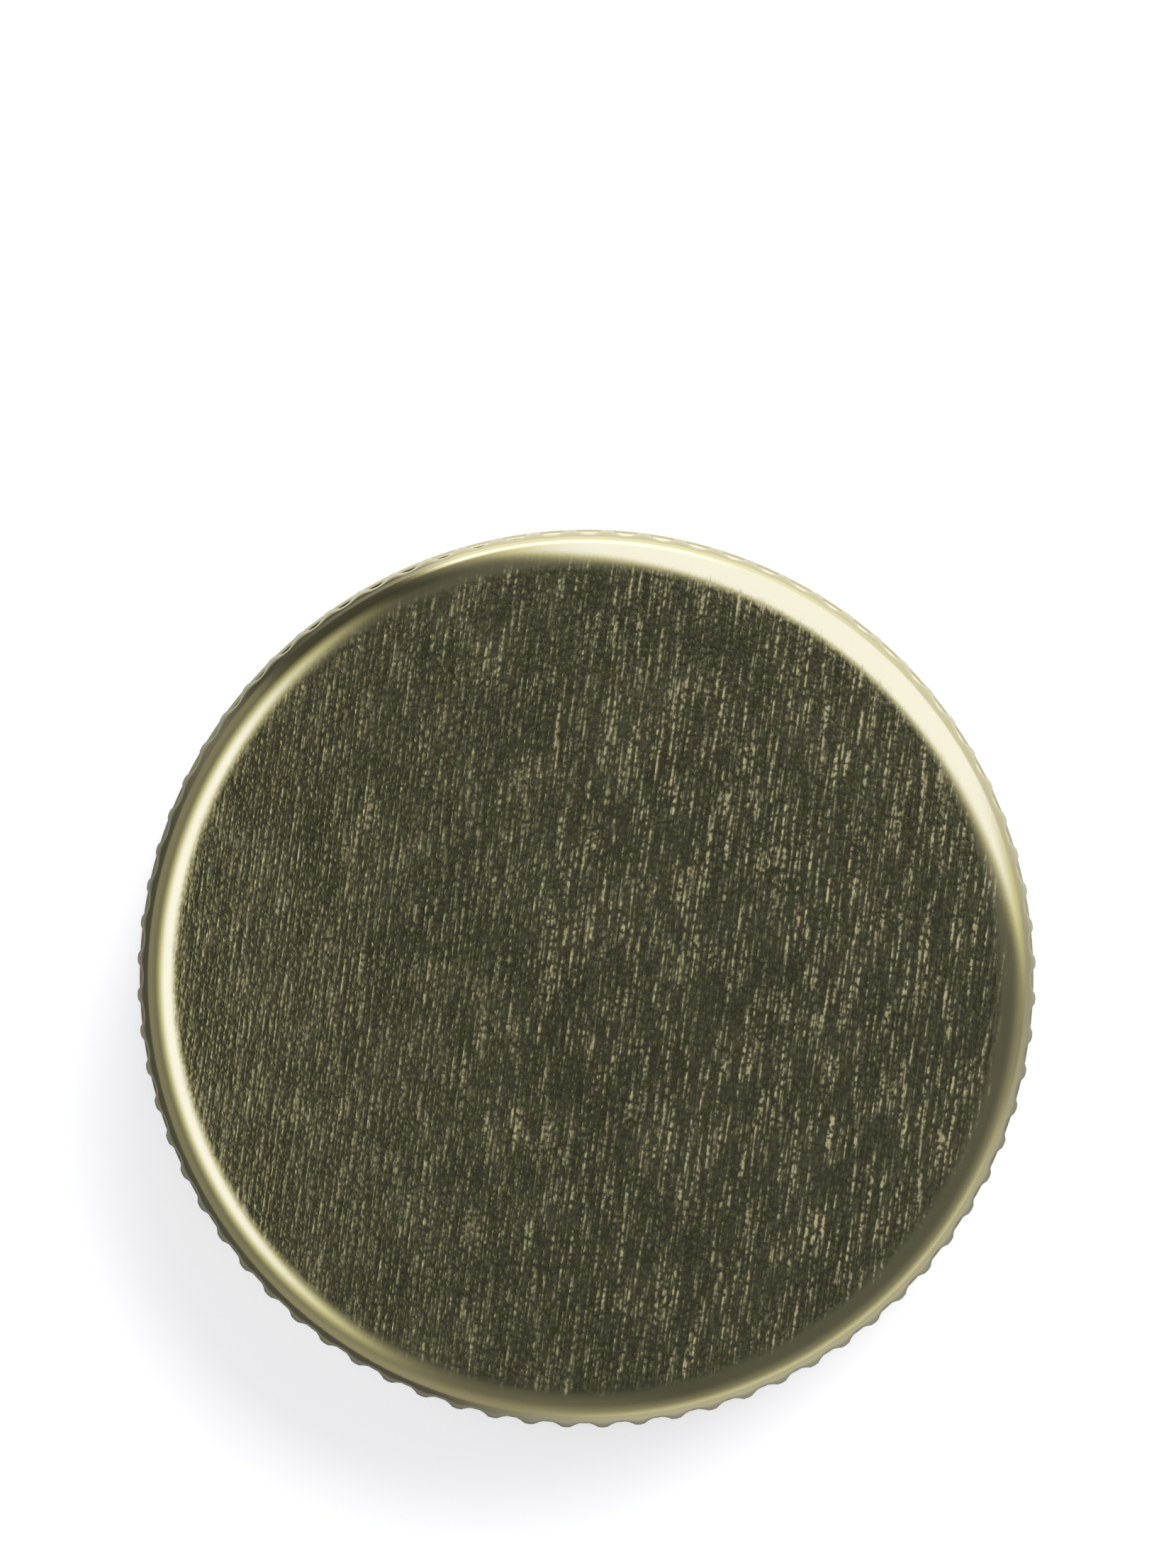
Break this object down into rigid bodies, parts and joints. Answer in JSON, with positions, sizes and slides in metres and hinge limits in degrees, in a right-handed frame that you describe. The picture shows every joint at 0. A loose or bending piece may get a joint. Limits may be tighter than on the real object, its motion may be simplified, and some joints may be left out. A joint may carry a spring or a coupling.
{
  "type": "screw cap",
  "caption": "Round gold-lacquered metal screw cap with a fluted grip band, a rolled inner thread, a curled rim and a soft sealing disc inside.",
  "frame": {"origin": "on the cap's axis, in the plane that its curled rim stands on", "axes": "+Z along the cap's axis, from the open rim to the flat top; +X points to where the thread starts"},
  "size_m": [0.0396, 0.0396, 0.0114],
  "materials": {
    "gold_lacquered_tinplate": "satin",
    "white_foam": "matte"
  },
  "bodies": {
    "root": {"cap_shell": "gold_lacquered_tinplate", "liner": "white_foam"}
  },
  "joints": []
}
